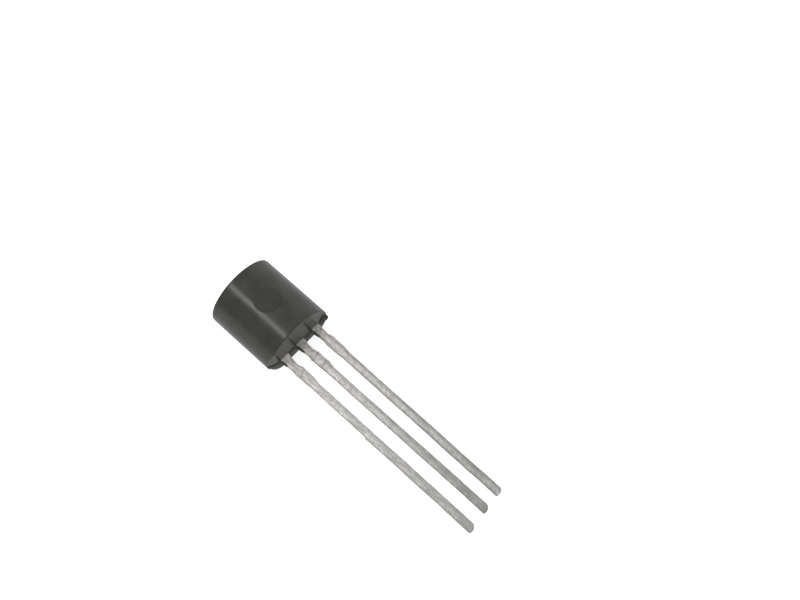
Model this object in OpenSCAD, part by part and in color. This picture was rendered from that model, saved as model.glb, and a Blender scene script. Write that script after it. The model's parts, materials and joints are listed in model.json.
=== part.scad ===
// Three-lead voltage reference in a D-shaped moulded package, lying flat side down.
// Package frame: X runs out along the leads and Y across them. Z rises from the flat to the
// curved back. The origin is the middle of the edge where the flat meets the lead end.
// All lengths are in millimetres.

/* [Moulded body] */
// Width across the three leads, which is the diameter of the curved back
body_w = 4.66; // [4.4:0.02:5.2]
// Length along the leads, measured where the two mould halves meet
body_len = 4.76; // [4.4:0.02:5.4]
// Thickness from the flat to the crown of the curved back
body_t = 3.6; // [3.4:0.02:4.1]
// Lean of the two end faces that lets the mould open, in degrees
end_draft = 0.5; // [0.5:0.5:5]
// Radius of the two long edges of the flat
flat_edge_r = 0.2; // [0.1:0.02:0.3]

/* [Marks of the mould] */
// Diameter of the ejector pin mark on the curved back
pin_mark_d = 1.5; // [0.8:0.05:2]
// Depth of the ejector pin mark
pin_mark_depth = 0.04; // [0.02:0.01:0.1]
// Distance of the mark's middle from the middle of the back, towards lead 1
pin_mark_off = 0.24; // [0:0.02:0.4]
// How far the broken edge of the trimmed resin web stands out beside the leads
web_out = 0.06; // [0.03:0.01:0.15]
// Length of the sliver of resin left along one side of each lead
sliver_len = 0.7; // [0.4:0.05:0.85]
// Width of that sliver where it leaves the body
sliver_w = 0.12; // [0.05:0.01:0.2]

/* [Leads] */
// Distance between the middles of neighbouring leads
lead_pitch = 1.27; // [1.2:0.01:1.4]
// Height of the middle of the leads above the flat
lead_height = 1.06; // [0.9:0.01:1.3]
// Thickness of the sheet that the leads are stamped from
lead_t = 0.38; // [0.3:0.01:0.45]
// Width of a lead along its free length
lead_w = 0.48; // [0.4:0.01:0.52]
// Width of a lead where it leaves the body
root_w = 0.56; // [0.5:0.01:0.62]
// Width of a lead at its neck
neck_w = 0.46; // [0.4:0.01:0.5]
// Width of a lead at the shoulders left by the cut tie bar
shoulder_w = 0.62; // [0.56:0.01:0.7]
// Distance from the body to the neck
neck_at = 0.9; // [0.86:0.01:1]
// Distance from the body to the near side of the shoulders
shoulder_from = 1.2; // [1.1:0.05:1.4]
// Length of the shoulders
shoulder_len = 0.9; // [0.6:0.05:1.2]
// Length over which a shoulder runs out into the plain lead
shoulder_run = 0.55; // [0.2:0.05:0.8]
// Length of the centre lead outside the body
lead_len = 14.5; // [12.7:0.1:16]
// Difference in length between neighbouring leads, left by the slanted tip cut
tip_step = 0.13; // [0:0.01:0.2]

/* [Inside the body] */
// Length of the pad on the centre lead that carries the die
flag_len = 2.2; // [1.8:0.05:2.4]
// Width of the pad on the centre lead
flag_w = 2.1; // [1.6:0.05:2.4]
// Distance from the lead end of the body to the pad
flag_in = 1.7; // [1.6:0.05:1.9]
// Length of the bonding post at the inner end of each side lead
post_len = 0.75; // [0.5:0.05:0.8]
// Width of the bonding post
post_w = 1.1; // [0.9:0.02:1.3]
// Distance between the pad and the bonding posts
post_gap = 0.3; // [0.2:0.05:0.4]
// Radius of the bites in a lead's sides that lock it in the resin
lock_r = 0.1; // [0.05:0.01:0.12]
// Distance from the lead end of the body to the lock bites
lock_in = 0.35; // [0.25:0.01:0.4]
// Length of the silicon die along the leads
die_len = 1; // [0.8:0.05:1.2]
// Width of the silicon die
die_w = 0.9; // [0.8:0.05:1.2]
// Thickness of the silicon die
die_t = 0.2; // [0.15:0.01:0.3]
// Thickness of the glue under the die
glue_t = 0.03; // [0.02:0.005:0.05]
// How far the glue squeezes out past the die on every side
glue_out = 0.06; // [0.03:0.01:0.1]
// Thickness of the bond wire
wire_d = 0.05; // [0.04:0.005:0.06]
// Diameter of the ball and of the stitch that end a bond wire
bond_d = 0.12; // [0.1:0.01:0.15]
// Height of the ball and of the stitch
bond_t = 0.03; // [0.02:0.005:0.05]
// Distance from the edges of the die to the middle of a bond
bond_inset = 0.14; // [0.1:0.01:0.2]

/* [Hidden] */
$fn = 96;

// The curved back is a cylinder whose axis lies back_z above the flat.
back_r = body_w / 2;
back_z = body_t - back_r;
// The end faces lean in from the mould line to the flat and to the crown.
lean_flat = lead_height * tan(end_draft);
lean_back = (body_t - lead_height) * tan(end_draft);
// The leads leave the body at the mould line, which is its longest stretch.
exit_x = lean_flat;
top_x = exit_x - body_len;
crown_x = exit_x - lean_back;
lead_top = lead_height + lead_t / 2;
lead_bottom = lead_height - lead_t / 2;
// The corner circle touches the flat and the curved back.
corner_y = sqrt(pow(back_r - flat_edge_r, 2) - pow(back_z - flat_edge_r, 2));
touch = back_r / (back_r - flat_edge_r);
touch_y = corner_y * touch;
touch_z = back_z + (flat_edge_r - back_z) * touch;
// A cutter that starts outside the body reaches this far past it.
past = 1;

flag_x = exit_x - flag_in;
post_x = flag_x + post_gap;
post_mid_x = post_x + post_len / 2;
die_x = flag_x - flag_len / 2;
glue_top = lead_top + glue_t;
die_top = glue_top + die_t;

// The package tips on to the end of its longest lead and the lead end of its flat.
longest_tip = exit_x + lead_len + tip_step;
rest_tilt = atan2(lead_bottom, longest_tip);

// Turns the package frame into the pose in which it comes to rest on a table at Z = 0.
module at_rest() {
    rotate([0, rest_tilt, 0]) children();
}

// Places a drawing of Y and Z and draws it out along X from x0 to x1.
module along_x(x0, x1) {
    translate([x0, 0, 0]) rotate([90, 0, 90]) linear_extrude(x1 - x0) children();
}

// Places a drawing of X and Z and draws it out along Y over a width about y.
module along_y(y, width) {
    translate([0, y, 0]) rotate([90, 0, 0]) linear_extrude(width, center = true) children();
}

// Cuts a drawing of X and Y out of the lead sheet.
module in_lead_sheet() {
    translate([0, 0, lead_bottom]) linear_extrude(lead_t) children();
}

// The circle of the curved back above the two points where the corner circles touch it.
module back_section() {
    difference() {
        translate([0, back_z]) circle(r = back_r);
        polygon([[0, back_z], [2 * touch_y, 2 * touch_z - back_z], [0, -body_w],
            [-2 * touch_y, 2 * touch_z - back_z]]);
    }
}

// A bar with the package's D section: the back, the core between the touching points and the
// flat, whose peak lies well inside the back, and a round corner at each edge of the flat.
module d_bar(x0, x1) {
    along_x(x0, x1) back_section();
    along_x(x0, x1) polygon([[0, back_z + back_r / 2], [touch_y, touch_z], [corner_y, 0],
        [-corner_y, 0], [-touch_y, touch_z]]);
    for (side = [-1, 1]) {
        along_x(x0, x1) translate([side * corner_y, flat_edge_r]) circle(r = flat_edge_r);
    }
}

// The side view of the body, whose ends lean in on both sides of the mould line.
module side_view() {
    polygon([[0, 0], [exit_x, lead_height], [crown_x, body_t],
        [top_x + lean_back, body_t], [top_x, lead_height], [top_x + lean_flat, 0]]);
}

// The web of resin round the leads where it was trimmed off close to the lead end.
module web() {
    in_lead_sheet() translate([exit_x - web_out, -body_w]) square([2 * web_out, 2 * body_w]);
}

// The sliver of resin that the trimmed web leaves on one side of a lead.
module sliver(y) {
    root = y - root_w / 2 - sliver_w;
    in_lead_sheet() polygon([[exit_x - sliver_w, y], [exit_x - sliver_w, root], [exit_x + web_out, root],
        [exit_x + sliver_len, y - neck_w / 2], [exit_x + web_out, y]]);
}

// The body before anything is cut out of it for the pieces inside.
module resin_block() {
    intersection() {
        d_bar(top_x - past, exit_x + past);
        union() {
            along_y(0, body_w + past) side_view();
            web();
        }
    }
    for (i = [-1:1]) sliver(i * lead_pitch);
}

// The shallow mark of the ejector pin, whose floor follows the curved back.
module pin_mark() {
    difference() {
        translate([exit_x - body_len / 2, pin_mark_off, back_z])
            cylinder(h = back_r + past, d = pin_mark_d);
        along_x(top_x, exit_x) translate([0, back_z]) circle(r = back_r - pin_mark_depth);
    }
}

// Half the outline of a lead from x0 to its tip: root, neck, shoulders, plain length.
function lead_side(x0, tip) = [
    [x0, root_w / 2],
    [exit_x, root_w / 2],
    [exit_x + neck_at, neck_w / 2],
    [exit_x + shoulder_from, shoulder_w / 2],
    [exit_x + shoulder_from + shoulder_len, shoulder_w / 2],
    [exit_x + shoulder_from + shoulder_len + shoulder_run, lead_w / 2],
    [tip, lead_w / 2]
];

// The lead at i pitches from the centre lead, from x0 to its tip.
module lead_strip(i, x0) {
    side = lead_side(x0, exit_x + lead_len - i * tip_step);
    last = len(side) - 1;
    translate([0, i * lead_pitch]) difference() {
        polygon(concat(side, [for (k = [0:last]) [side[last - k][0], -side[last - k][1]]]));
        for (edge = [-1, 1]) translate([exit_x - lock_in, edge * root_w / 2]) circle(r = lock_r);
    }
}

module side_lead(i) {
    in_lead_sheet() lead_strip(i, post_mid_x);
    in_lead_sheet() translate([post_x, i * lead_pitch - post_w / 2]) square([post_len, post_w]);
}

module centre_lead() {
    in_lead_sheet() lead_strip(0, die_x);
    in_lead_sheet() translate([flag_x - flag_len, -flag_w / 2]) square([flag_len, flag_w]);
}

module glue() {
    translate([die_x - die_len / 2 - glue_out, -die_w / 2 - glue_out, lead_top])
        cube([die_len + 2 * glue_out, die_w + 2 * glue_out, glue_t]);
}

module die() {
    translate([die_x - die_len / 2, -die_w / 2, glue_top]) cube([die_len, die_w, die_t]);
}

// A bond wire: a half circle from the die to above the post, then straight down to the post.
// side is 1 for lead 1 and -1 for lead 3.
module bond_wire(side) {
    ball = [die_x + die_len / 2 - bond_inset, side * (die_w / 2 - bond_inset)];
    stitch = [post_mid_x, side * (lead_pitch - post_w / 2 + post_len / 2)];
    reach = stitch - ball;
    middle = (ball + stitch) / 2;
    loop_r = norm(reach) / 2;
    drop = die_top - lead_top;
    translate([middle[0], middle[1], die_top]) rotate([0, 0, atan2(reach[1], reach[0])]) {
        rotate([90, 0, 0]) rotate_extrude(angle = 180) translate([loop_r, 0]) circle(d = wire_d, $fn = 8);
        translate([loop_r, 0, -drop]) cylinder(h = drop, d = wire_d, $fn = 8);
        translate([loop_r, 0, -drop]) cylinder(h = bond_t, d = bond_d);
        translate([-loop_r, 0, 0]) cylinder(h = bond_t, d = bond_d);
    }
}

module moulded_body() {
    color("#48484a") at_rest() difference() {
        resin_block();
        pin_mark();
        side_lead(1);
        centre_lead();
        side_lead(-1);
        glue();
        die();
        bond_wire(1);
        bond_wire(-1);
    }
}

module lead_1() {
    color("#b9b9b6") at_rest() side_lead(1);
}

module lead_2() {
    color("#b9b9b6") at_rest() centre_lead();
}

module lead_3() {
    color("#b9b9b6") at_rest() side_lead(-1);
}

module die_attach() {
    color("#c9c4b0") at_rest() glue();
}

module silicon_die() {
    color("#5a5f6e") at_rest() die();
}

module bond_wire_1() {
    color("#d9a441") at_rest() bond_wire(1);
}

module bond_wire_3() {
    color("#d9a441") at_rest() bond_wire(-1);
}

moulded_body();
lead_1();
lead_2();
lead_3();
die_attach();
silicon_die();
bond_wire_1();
bond_wire_3();
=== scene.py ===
"""Finish of a three-lead voltage reference in a D-shaped moulded package.

The CAD solids fix where everything is. This script lays a rounded, textured surface over the
moulded body and over each stamped lead, adds the broken resin round the leads, gives the pieces
inside the body their finishes, and sets up the light and the camera. Shapes are worked out in
millimetres in the package frame, where X runs out along the leads, Y across them and Z from the
flat up to the curved back. They are then turned into the row frame, in which the package leans
on its lead tips.
"""
import json
import logging
import math
from dataclasses import dataclass
from enum import Enum

import bmesh
import bpy
import numpy as np
from mathutils import Matrix, Vector


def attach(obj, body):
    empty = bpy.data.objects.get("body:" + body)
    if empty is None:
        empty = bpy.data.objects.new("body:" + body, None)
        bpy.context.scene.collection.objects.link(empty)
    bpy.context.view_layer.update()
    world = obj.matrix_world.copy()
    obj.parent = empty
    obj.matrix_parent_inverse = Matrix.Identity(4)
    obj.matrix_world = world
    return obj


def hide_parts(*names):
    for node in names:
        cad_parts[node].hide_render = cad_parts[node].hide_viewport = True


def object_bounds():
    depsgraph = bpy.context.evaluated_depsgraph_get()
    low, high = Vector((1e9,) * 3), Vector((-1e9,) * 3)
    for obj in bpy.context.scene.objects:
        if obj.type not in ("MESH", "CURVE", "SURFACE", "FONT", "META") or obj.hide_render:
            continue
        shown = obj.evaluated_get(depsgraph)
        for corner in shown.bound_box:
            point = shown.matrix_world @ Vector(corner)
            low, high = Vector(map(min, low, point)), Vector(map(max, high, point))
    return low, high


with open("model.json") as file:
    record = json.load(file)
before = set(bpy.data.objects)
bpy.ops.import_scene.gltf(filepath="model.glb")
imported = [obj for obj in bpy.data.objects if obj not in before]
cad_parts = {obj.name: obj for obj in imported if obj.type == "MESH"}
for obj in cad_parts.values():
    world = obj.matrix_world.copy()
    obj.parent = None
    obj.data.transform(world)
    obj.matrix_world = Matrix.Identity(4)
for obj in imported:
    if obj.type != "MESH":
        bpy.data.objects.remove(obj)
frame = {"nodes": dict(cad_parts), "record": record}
CAD_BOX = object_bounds()

MM = 0.001
FRAME_WIDTH_PX = 800
# Distance in metres within which two points of a surface are one.
WELD = 1e-8
# Name of the mesh attribute that tells a material how dark each point is painted, from 0 to 1: worn tin, the
# pin mark, a lead's darker foot, and painted shade along a lead's edges.
WEAR_AND_SHADE = "worn"
BLACK = (0.0, 0.0, 0.0, 1.0)
WHITE = (1.0, 1.0, 1.0, 1.0)
Span = tuple[float, float]
log = logging.getLogger("scene")


# --------------------------------------------------------------------------------------------
# Places, curves and meshes
# --------------------------------------------------------------------------------------------


@dataclass(frozen=True)
class Package:
    """The package frame inside the row frame: the way out along the leads, and up from the flat."""

    out: np.ndarray
    up: np.ndarray

    @classmethod
    def from_record(cls, record: dict) -> "Package":
        """Reads both directions from the record's mounts.

        Args:
            record: the part's record, whose flat_face mount points down and lead_row outwards.

        Returns:
            The package frame.
        """
        mounts = {mount["name"]: mount for mount in record["mounts"]}
        out = np.array(mounts["lead_row"]["axis"], float)
        up = -np.array(mounts["flat_face"]["axis"], float)
        return cls(out / np.linalg.norm(out), up / np.linalg.norm(up))

    def to_row(self, points: np.ndarray) -> np.ndarray:
        """Turns package points in millimetres into row points in metres.

        Args:
            points: an array whose last axis holds X, Y and Z in the package frame.

        Returns:
            The same points in the row frame: the sum of each coordinate times its direction.
        """
        across = np.cross(self.up, self.out)
        return (points @ np.stack([self.out, across, self.up])) * MM


def smooth_step(x: np.ndarray, start: float, end: float) -> np.ndarray:
    """Rises from 0 at start to 1 at end as 3t^2 - 2t^3, and falls where end is below start."""
    t = np.clip((np.asarray(x, float) - start) / (end - start), 0.0, 1.0)
    return t * t * (3.0 - 2.0 * t)


def bump_at(x: np.ndarray, middle: float, width: float) -> np.ndarray:
    """A round bump of height 1: the Gauss curve of ((x - middle) / width)."""
    return np.exp(-(((x - middle) / width) ** 2))


@dataclass(frozen=True)
class Ripple:
    """Uneven relief: crossed sine waves of unrelated lengths, each finer and weaker than the last.

    depth is its height, and along and across are the sizes of its coarsest bumps in millimetres.
    Surfaces with different seeds differ. turns and phases say by how many radians a wave's
    direction and phase go up with its number and with the seed.
    """

    depth: float
    along: float
    across: float = 1.0
    seed: float = 0.0
    waves: int = 5
    coarsest: float = 3.1
    finer: float = 1.63
    weaker: float = 0.62
    turns: Span = (1.7, 0.9)
    phases: Span = (2.4, 5.3)

    def at(self, x: np.ndarray, y: np.ndarray | float = 0.0, shift: float = 0.0) -> np.ndarray:
        """Height at places in millimetres: depth times half the sum of sin(pitch * way + phase).

        Args:
            x: place along.
            y: place across.
            shift: is added to the seed.

        Returns:
            The height at each place, mostly between -depth and depth.
        """
        u, v = x / self.along, y / self.across
        seed = self.seed + shift
        total = np.zeros(np.broadcast(u, v).shape)
        for wave in range(self.waves):
            turn = self.turns[0] * wave + self.turns[1] * seed
            phase = self.phases[0] * wave + self.phases[1] * seed
            way = u * math.cos(turn) + v * math.sin(turn)
            total = total + self.weaker**wave * np.sin(self.coarsest * self.finer**wave * way + phase)
        return self.depth * total / 2.0

    def lifted(self, x: np.ndarray, y: np.ndarray, shift: float = 0.0) -> np.ndarray:
        """The height at the same places, raised by depth so that it is hardly ever below zero."""
        return self.depth + self.at(x, y, shift)


def grid_faces(rows: int, cols: int, first: int = 0, loop: bool = False) -> np.ndarray:
    """Quads of a grid of points numbered row by row.

    Args:
        rows: number of rows of points.
        cols: number of points in a row.
        first: number of the grid's first point.
        loop: True where the last column joins the first.

    Returns:
        An array of four point numbers a quad, turned from row to column.
    """
    i = np.arange(rows - 1)[:, None]
    j = np.arange(cols if loop else cols - 1)[None, :]
    after = (j + 1) % cols
    quads = np.stack(np.broadcast_arrays(i * cols + j, (i + 1) * cols + j,
                                         (i + 1) * cols + after, i * cols + after), axis=-1)
    return quads.reshape(-1, 4) + first


def close_ends(rings: np.ndarray) -> np.ndarray:
    """Adds a ring at each end whose points all lie in the middle of the ring next to it.

    Args:
        rings: points as rings, points of a ring and X, Y and Z.

    Returns:
        The same rings with one more at either end.
    """
    middles = rings[[0, -1]].mean(axis=1, keepdims=True)
    caps = np.broadcast_to(middles, (2, *rings.shape[1:]))
    return np.concatenate([caps[:1], rings, caps[1:]])


def make_piece(name: str, points: np.ndarray, faces: np.ndarray,
               worn: np.ndarray | None = None) -> bpy.types.Object:
    """Makes a smooth-shaded object at the origin from row-frame points.

    Doubles are merged, faces that shrink to a line are removed, and normals point outwards.

    Args:
        name: the object's name.
        points: points in metres, three numbers each.
        faces: four point numbers a face.
        worn: how dark each point is painted, where the material reads that: worn tin, the pin mark, a lead's
            darker foot, and painted shade along a lead's edges.

    Returns:
        The new object.
    """
    mesh = bpy.data.meshes.new(name)
    mesh.from_pydata(points.reshape(-1, 3).tolist(), [], faces.tolist())
    if worn is not None:
        mesh.attributes.new(WEAR_AND_SHADE, "FLOAT", "POINT").data.foreach_set("value", worn.ravel())
    work = bmesh.new()
    work.from_mesh(mesh)
    bmesh.ops.remove_doubles(work, verts=work.verts, dist=WELD)
    bmesh.ops.dissolve_degenerate(work, edges=work.edges, dist=WELD)
    bmesh.ops.recalc_face_normals(work, faces=work.faces)
    work.to_mesh(mesh)
    work.free()
    mesh.shade_smooth()
    piece = bpy.data.objects.new(name, mesh)
    bpy.context.scene.collection.objects.link(piece)
    return piece


# --------------------------------------------------------------------------------------------
# Finishes
# --------------------------------------------------------------------------------------------


def linear(hex_colour: str) -> tuple[float, float, float, float]:
    """Turns an sRGB colour into the linear one that a shader takes, by the curve of the sRGB standard.

    Args:
        hex_colour: the colour, such as #8a8a86.

    Returns:
        Red, green and blue from 0 to 1, and an alpha of 1.
    """
    values = [int(hex_colour.lstrip("#")[k:k + 2], 16) / 255.0 for k in (0, 2, 4)]
    curve = [v / 12.92 if v <= 0.04045 else ((v + 0.055) / 1.055) ** 2.4 for v in values]
    return (*curve, 1.0)


def per_mm(size_mm: float) -> float:
    """Texture scale that gives features of size_mm on coordinates in metres."""
    return 1.0 / (size_mm * MM)


class Tree:
    """A material's or a world's node tree, with one call that adds a node."""

    def __init__(self, owner: bpy.types.ID) -> None:
        """Empties a node tree and keeps it.

        Args:
            owner: the material or world that has the tree.
        """
        owner.use_nodes = True
        self.tree = owner.node_tree
        self.tree.nodes.clear()

    def add(self, kind: str, settings: dict | None = None, inputs: dict | None = None,
            stops: dict[float, tuple] | None = None) -> bpy.types.Node:
        """Adds a node.

        Args:
            kind: the node's type name without the ShaderNode in front.
            settings: attributes of the node.
            inputs: values or other nodes' output sockets, by input name or number.
            stops: the two colours of a colour ramp, by place from 0 to 1 and in rising order.

        Returns:
            The new node.
        """
        node = self.tree.nodes.new("ShaderNode" + kind)
        for key, value in (settings or {}).items():
            setattr(node, key, value)
        for key, value in (inputs or {}).items():
            if isinstance(value, bpy.types.NodeSocket):
                self.tree.links.new(value, node.inputs[key])
            else:
                node.inputs[key].default_value = value
        for number, (place, colour) in enumerate((stops or {}).items()):
            node.color_ramp.elements[number].position = place
            node.color_ramp.elements[number].color = colour
        return node


@dataclass(frozen=True)
class MouldingResin:
    """Epoxy moulding compound, black, pressed in a spark-eroded steel mould.

    The silica-filled resin is a warm dark grey with a dull sheen that varies a little in clouds.
    The eroded mould leaves a fine even grain on it, and the filler gives it faint lighter specks.
    Where the mesh says that it is worn, under the ejector pin's ground face, it is a little
    darker. The ranges are of the noise's own values. Grain and specks have the real size of the
    mould's pits and of the filler's larger grains.
    """

    deep: str = "#343430"
    pale: str = "#3e3e3a"
    speck: str = "#484743"
    pressed: str = "#353533"
    roughness: Span = (0.19, 0.26)
    ior: float = 1.55
    shine: float = 0.375
    grain_mm: float = 0.045
    grain_detail: float = 2.0
    grain_depth_mm: float = 0.0006
    speck_range: Span = (0.62, 0.75)
    cloud_mm: float = 0.9
    cloud_detail: float = 3.0
    cloud_range: Span = (0.3, 0.7)

    def build(self) -> bpy.types.Material:
        """Builds the material: clouds, specks and the pressed mark, over a fine relief.

        Returns:
            The new material.
        """
        material = bpy.data.materials.new("epoxy_moulding_compound_eroded")
        tree = Tree(material)
        place = tree.add("TexCoord").outputs["Object"]
        cloud = tree.add("TexNoise", inputs={
            "Vector": place, "Scale": per_mm(self.cloud_mm), "Detail": self.cloud_detail}).outputs["Fac"]
        grain = tree.add("TexNoise", inputs={
            "Vector": place, "Scale": per_mm(self.grain_mm), "Detail": self.grain_detail}).outputs["Fac"]
        low, high = self.cloud_range
        clouded = tree.add("ValToRGB", inputs={"Fac": cloud},
                           stops={low: linear(self.deep), high: linear(self.pale)})
        some, full = self.speck_range
        specks = tree.add("ValToRGB", inputs={"Fac": grain}, stops={some: BLACK, full: WHITE})
        specked = tree.add("MixRGB", inputs={
            "Fac": specks.outputs["Color"], "Color1": clouded.outputs["Color"], "Color2": linear(self.speck)})
        under_pin = tree.add("Attribute", {"attribute_name": WEAR_AND_SHADE})
        colour = tree.add("MixRGB", inputs={
            "Fac": under_pin.outputs["Fac"], "Color1": specked.outputs["Color"],
            "Color2": linear(self.pressed)})
        rough = tree.add("MapRange", inputs={"Value": cloud, "From Min": low, "From Max": high,
                                             "To Min": self.roughness[0], "To Max": self.roughness[1]})
        relief = tree.add("Bump", inputs={"Height": grain, "Strength": 1.0,
                                          "Distance": self.grain_depth_mm * MM})
        shader = tree.add("BsdfPrincipled", inputs={
            "Base Color": colour.outputs["Color"], "Roughness": rough.outputs["Result"],
            "IOR": self.ior, "Specular IOR Level": self.shine, "Normal": relief.outputs["Normal"]})
        tree.add("OutputMaterial", inputs={"Surface": shader.outputs["BSDF"]})
        return material


@dataclass(frozen=True)
class BrokenResin:
    """Moulding compound where it was broken off: dull and dark, with a coarse torn grain."""

    deep: str = "#30302d"
    pale: str = "#5a5954"
    roughness: float = 0.75
    ior: float = 1.55
    grain_mm: float = 0.06
    grain_detail: float = 4.0
    grain_depth_mm: float = 0.012
    grain_range: Span = (0.35, 0.68)

    def build(self) -> bpy.types.Material:
        """Builds the material: one grain that both colours the resin and roughens it.

        Returns:
            The new material.
        """
        material = bpy.data.materials.new("epoxy_moulding_compound_fractured")
        tree = Tree(material)
        place = tree.add("TexCoord").outputs["Object"]
        grain = tree.add("TexNoise", inputs={
            "Vector": place, "Scale": per_mm(self.grain_mm), "Detail": self.grain_detail}).outputs["Fac"]
        low, high = self.grain_range
        colour = tree.add("ValToRGB", inputs={"Fac": grain},
                          stops={low: linear(self.deep), high: linear(self.pale)})
        relief = tree.add("Bump", inputs={"Height": grain, "Strength": 1.0,
                                          "Distance": self.grain_depth_mm * MM})
        shader = tree.add("BsdfPrincipled", inputs={
            "Base Color": colour.outputs["Color"], "Roughness": self.roughness, "IOR": self.ior,
            "Normal": relief.outputs["Normal"]})
        tree.add("OutputMaterial", inputs={"Surface": shader.outputs["BSDF"]})
        return material


@dataclass(frozen=True)
class TinnedAlloy:
    """Matt tin over a stamped copper alloy lead.

    The tin is a soft light grey, warmer near the body, with fine drawn lines along the lead and
    brownish blotches. Where the mesh says so it is a duller, darker grey: worn towards the tip,
    darker at the foot next to the body, and darker along the edges as painted shade. The ranges
    are of the noise's own values. Real drawn lines are finer than shows where the whole part is
    seen, so line_mm is as coarse as it needs to be.
    """

    bright: str = "#fbfaf9"
    dull: str = "#cdccca"
    warm: str = "#fdfaf8"
    tint: str = "#bfb2aa"
    # Duller grey of worn tin at the tip, of the darker foot, and of the painted shade along the edges.
    worn: str = "#8f8f8a"
    roughness: Span = (0.32, 0.46)
    metallic: float = 0.6
    line_mm: float = 0.11
    line_stretch: float = 0.45
    line_detail: float = 3.0
    line_depth_mm: float = 0.009
    line_range: Span = (0.3, 0.7)
    blotch_mm: float = 0.5
    blotch_detail: float = 4.0
    blotch_range: Span = (0.3, 0.7)
    stain_range: Span = (0.5, 0.78)
    stain_share: float = 0.5
    warm_until_mm: float = 7.0

    def build(self) -> bpy.types.Material:
        """Builds the material: drawn lines, warmed near the body, then stained and worn.

        Returns:
            The new material.
        """
        material = bpy.data.materials.new("tin_plate_on_stamped_alloy")
        tree = Tree(material)
        place = tree.add("TexCoord").outputs["Object"]
        along = tree.add("Mapping", inputs={"Vector": place, "Scale": (self.line_stretch, 1.0, 1.0)})
        lines = tree.add("TexNoise", inputs={"Vector": along.outputs["Vector"], "Scale": per_mm(self.line_mm),
                                             "Detail": self.line_detail}).outputs["Fac"]
        blotch = tree.add("TexNoise", inputs={
            "Vector": place, "Scale": per_mm(self.blotch_mm), "Detail": self.blotch_detail}).outputs["Fac"]
        low, high = self.line_range
        tin = tree.add("ValToRGB", inputs={"Fac": lines},
                       stops={low: linear(self.dull), high: linear(self.bright)})
        from_body = tree.add("SeparateXYZ", inputs={"Vector": place})
        warmth = tree.add("MapRange", {"interpolation_type": "SMOOTHSTEP"}, {
            "Value": from_body.outputs["X"], "From Max": self.warm_until_mm * MM,
            "To Min": 1.0, "To Max": 0.0})
        warmed = tree.add("MixRGB", {"blend_type": "MULTIPLY"}, {
            "Fac": warmth.outputs["Result"], "Color1": tin.outputs["Color"], "Color2": linear(self.warm)})
        none, full = self.stain_range
        stain = tree.add("ValToRGB", inputs={"Fac": blotch},
                         stops={none: BLACK, full: (*[self.stain_share] * 3, 1.0)})
        stained = tree.add("MixRGB", inputs={"Fac": stain.outputs["Color"], "Color1": warmed.outputs["Color"],
                                             "Color2": linear(self.tint)})
        # Mixes in the duller grey where the mesh says: worn tin, a darker foot, and painted shade along the
        # edges.
        wear_and_shade = tree.add("Attribute", {"attribute_name": WEAR_AND_SHADE})
        colour = tree.add("MixRGB", inputs={"Fac": wear_and_shade.outputs["Fac"], "Color1": stained.outputs["Color"],
                                            "Color2": linear(self.worn)})
        rough = tree.add("MapRange", inputs={
            "Value": blotch, "From Min": self.blotch_range[0], "From Max": self.blotch_range[1],
            "To Min": self.roughness[0], "To Max": self.roughness[1]})
        relief = tree.add("Bump", inputs={"Height": lines, "Strength": 1.0,
                                          "Distance": self.line_depth_mm * MM})
        shader = tree.add("BsdfPrincipled", inputs={
            "Base Color": colour.outputs["Color"], "Metallic": self.metallic,
            "Roughness": rough.outputs["Result"], "Normal": relief.outputs["Normal"]})
        tree.add("OutputMaterial", inputs={"Surface": shader.outputs["BSDF"]})
        return material


@dataclass(frozen=True)
class InnerFinish:
    """A finish of a piece that is sealed in the body: a two-tone grain and a plain sheen."""

    name: str
    low: str
    high: str
    metallic: float
    roughness: float
    grain_mm: float
    grain_detail: float = 2.0
    grain_range: Span = (0.35, 0.65)

    def build(self) -> bpy.types.Material:
        """Builds the material.

        Returns:
            The new material.
        """
        material = bpy.data.materials.new(self.name)
        tree = Tree(material)
        place = tree.add("TexCoord").outputs["Object"]
        grain = tree.add("TexNoise", inputs={"Vector": place, "Scale": per_mm(self.grain_mm),
                                             "Detail": self.grain_detail})
        low, high = self.grain_range
        colour = tree.add("ValToRGB", inputs={"Fac": grain.outputs["Fac"]},
                          stops={low: linear(self.low), high: linear(self.high)})
        shader = tree.add("BsdfPrincipled", inputs={
            "Base Color": colour.outputs["Color"], "Metallic": self.metallic, "Roughness": self.roughness})
        tree.add("OutputMaterial", inputs={"Surface": shader.outputs["BSDF"]})
        return material


class Inner(Enum):
    """The finishes inside the body: dark blue-grey silicon, dull silvery glue and yellow gold."""

    SILICON = InnerFinish("polished_silicon_with_metal_layers", "#3d4152", "#6a6f80", 0.4, 0.18, 0.05)
    GLUE = InnerFinish("silver_filled_die_glue", "#b8b4a2", "#d6d2c4", 0.5, 0.5, 0.03)
    GOLD = InnerFinish("drawn_gold_wire", "#d09a3c", "#e6b860", 1.0, 0.22, 0.02)


INNER_PIECES = {"silicon_die": Inner.SILICON, "die_attach": Inner.GLUE,
                "bond_wire_1": Inner.GOLD, "bond_wire_3": Inner.GOLD}


# --------------------------------------------------------------------------------------------
# The moulded body and the resin that broke off round the leads
# --------------------------------------------------------------------------------------------


@dataclass(frozen=True)
class InnerEnd:
    """The wide end of a lead in the resin: where it starts, its length and its width."""

    start_x: float
    length: float
    width: float

    @property
    def stop_x(self) -> float:
        """X at which the narrow root begins."""
        return self.start_x + self.length


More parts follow.
